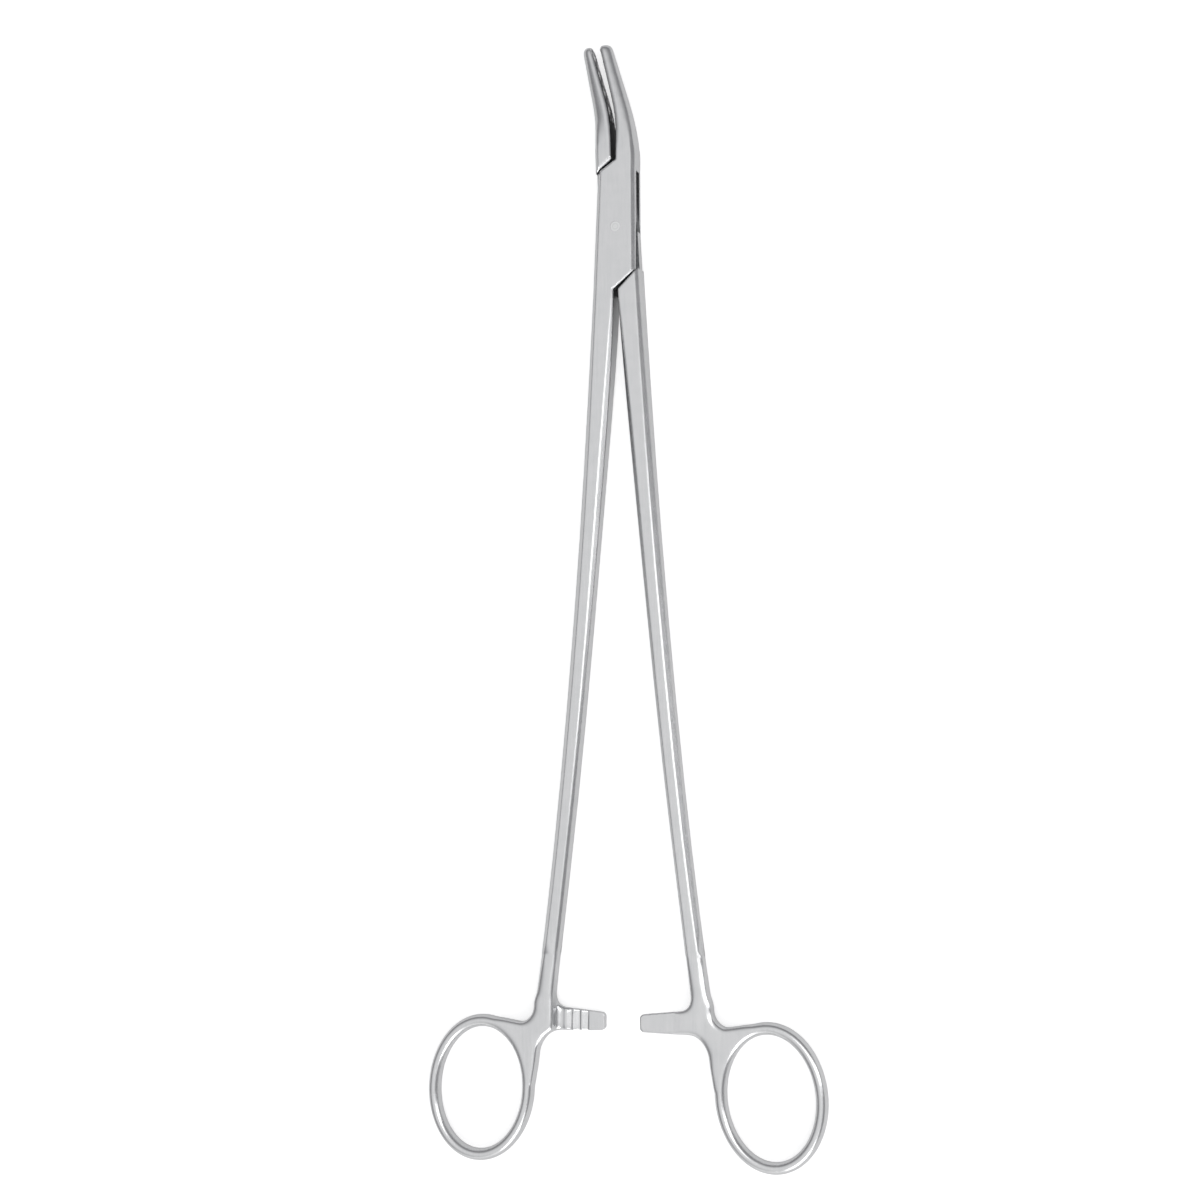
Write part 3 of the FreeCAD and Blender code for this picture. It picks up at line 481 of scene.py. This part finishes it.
def painted_shade_faces(jaw):
    """True for a face that gets the dark steel as painted shade: on the jaw's meeting face, on a
    wall of a seam, in the slot or on the waist."""
    # Millimetres, and shares of a full turn towards an axis.
    meeting_end, meeting_depth, meeting_turn = JAW_TIP_HEIGHT - 0.6, 0.3, 0.85
    seam_low, seam_high, seam_side, wall_turn = -17, 19, 4.2, 0.3
    slot_low, slot_half, flat_turn = -16, 1.26, 0.9
    outer_side = 3.9

    def test(face):
        place = face.center / MM
        depth, height = from_meeting_line(jaw, place)
        if CROTCH_HEIGHT < height < meeting_end:
            return depth < meeting_depth and -jaw * face.normal.x > meeting_turn
        wall = abs(face.normal.z) < wall_turn
        if wall and abs(place.x) < seam_side and seam_low < place.y < seam_high:
            return True
        in_slot = abs(place.z - BOX_MIDDLE) < slot_half and slot_low < place.y < CROTCH_HEIGHT
        # The waist's outer side is ground together with the box's.
        outer = abs(place.x) > outer_side and place.x * place.y < 0
        return in_slot and (abs(face.normal.z) > flat_turn or jaw == LEFT and not outer)

    return test


def forged_half(node, body, side, finishes):
    """One half with a soft handle and a soft jaw, in place of its CAD node. The jaw is on the
    other side than the handle."""
    half = clean_copy(node, node + "_forging")
    jaw = -side
    handle = forge(half, HANDLE_CUT, False, HANDLE_VOXEL)
    soften(handle, HANDLE_CUT, False, handle_softness(side), HANDLE_SMOOTHING, HANDLE_GROWTH)
    tip = forge(half, JAW_CUT, True, JAW_VOXEL)
    thin_back(tip, jaw)
    soften(tip, JAW_CUT, True, jaw_softness(jaw), JAW_SMOOTHING, JAW_GROWTH)
    join_parts(half, handle, tip)
    half.vertex_groups.clear()
    half.data.materials.clear()
    for finish in finishes:
        half.data.materials.append(finish)
    # Faces where shade falls get the dark steel, which is painted shade.
    gets_painted_shade = painted_shade_faces(jaw)
    for face in half.data.polygons:
        face.material_index = 1 if gets_painted_shade(face) else 0
    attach(half, body)
    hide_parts(node)


def repaint(node, finish):
    """Gives a CAD node that keeps its shape its finish."""
    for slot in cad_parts[node].material_slots:
        slot.material = finish


# Studio

def add_table():
    """A wide table just under the instrument."""
    bpy.ops.object.select_all(action="DESELECT")
    bpy.ops.mesh.primitive_plane_add(size=TABLE_SIZE, location=(0, 0, -TABLE_DROP))
    table = bpy.context.object
    table.name = "table"
    bpy.ops.object.transform_apply(location=True, rotation=True, scale=True)
    table.data.materials.append(pale_table())


def add_world():
    """A light tent: bright overhead, dim at middle heights and light again at table level. The
    camera sees it white."""
    world = bpy.data.worlds.new("light tent")
    bpy.context.scene.world = world
    world.use_nodes = True
    tree = world.node_tree
    tree.nodes.clear()
    direction = add(tree, "ShaderNodeTexCoord").outputs["Generated"]
    height = add(tree, "ShaderNodeSeparateXYZ", {0: direction}).outputs["Z"]
    tent = add(tree, "ShaderNodeValToRGB", {"Fac": height})
    set_stops(tent, [(0.0, "#E6E6E6"), (0.06, "#D6D6D6"), (0.16, "#8E8E90"), (0.5, "#9A9A9C"),
                     (0.74, "#CCCCCD"), (0.9, "#F4F4F5"), (1.0, "#F8F8F8")])
    # The tent's mouth, towards the handles, lets in light near table level.
    mouth_edge, mouth_open = -0.45, -0.85
    towards = add(tree, "ShaderNodeSeparateXYZ", {0: direction}).outputs["Y"]
    mouth = add(tree, "ShaderNodeMapRange",
                {"Value": towards, "From Min": mouth_edge, "From Max": mouth_open})
    white = linear("#FFFFFF")
    lit = add(tree, "ShaderNodeMix",
              {FACTOR: mouth.outputs[0], COLOUR_A: tent.outputs[0], COLOUR_B: white},
              data_type="RGBA")
    seen = add(tree, "ShaderNodeLightPath").outputs["Is Camera Ray"]
    colour = add(tree, "ShaderNodeMix",
                 {FACTOR: seen, COLOUR_A: lit.outputs[COLOUR_OUT], COLOUR_B: white},
                 data_type="RGBA")
    light = add(tree, "ShaderNodeBackground",
                {"Color": colour.outputs[COLOUR_OUT], "Strength": 1.0})
    add(tree, "ShaderNodeOutputWorld", {"Surface": light.outputs[0]})


def add_softbox(name, place, size, power):
    """A softbox that faces the middle of the instrument."""
    lamp = bpy.data.lights.new(name, "AREA")
    lamp.shape = "RECTANGLE"
    lamp.size, lamp.size_y = size
    lamp.energy = power
    box = bpy.data.objects.new(name, lamp)
    bpy.context.scene.collection.objects.link(box)
    box.location = place
    box.rotation_euler = (LIGHTS_AIM - Vector(place)).to_track_quat("-Z", "Y").to_euler()


def add_camera():
    """The camera at the photograph's angle."""
    lens = bpy.data.cameras.new("camera")
    lens.lens = CAMERA_LENS
    lens.sensor_width = CAMERA_SENSOR
    lens.clip_start = CAMERA_NEAREST
    camera = bpy.data.objects.new("camera", lens)
    bpy.context.scene.collection.objects.link(camera)
    turn = (Matrix.Rotation(CAMERA_TURN, 4, "Y") @ Matrix.Rotation(CAMERA_TILT, 4, "X")
            @ Matrix.Rotation(CAMERA_ROLL, 4, "Z"))
    camera.matrix_world = Matrix.Translation(CAMERA_PLACE) @ turn
    bpy.context.scene.camera = camera


half_finishes = [satin_steel(), dull_steel_painted_shade()]
forged_half("box_half", "box_side", LEFT, half_finishes)
forged_half("through_half", "through_side", RIGHT, half_finishes)
repaint("pivot_pin", ground_rivet_end())
hard_metal = cross_cut_hard_metal()
repaint("box_jaw_insert", hard_metal)
repaint("through_jaw_insert", hard_metal)

add_table()
add_world()
add_softbox("overhead softbox", place=(0.42, -0.06, 0.52), size=(0.2, 0.8), power=1.1)
add_softbox("low softbox", place=(0.2, -0.6, 0.33), size=(0.3, 0.35), power=0.9)
add_camera()
bpy.context.scene.view_settings.view_transform = "Standard"
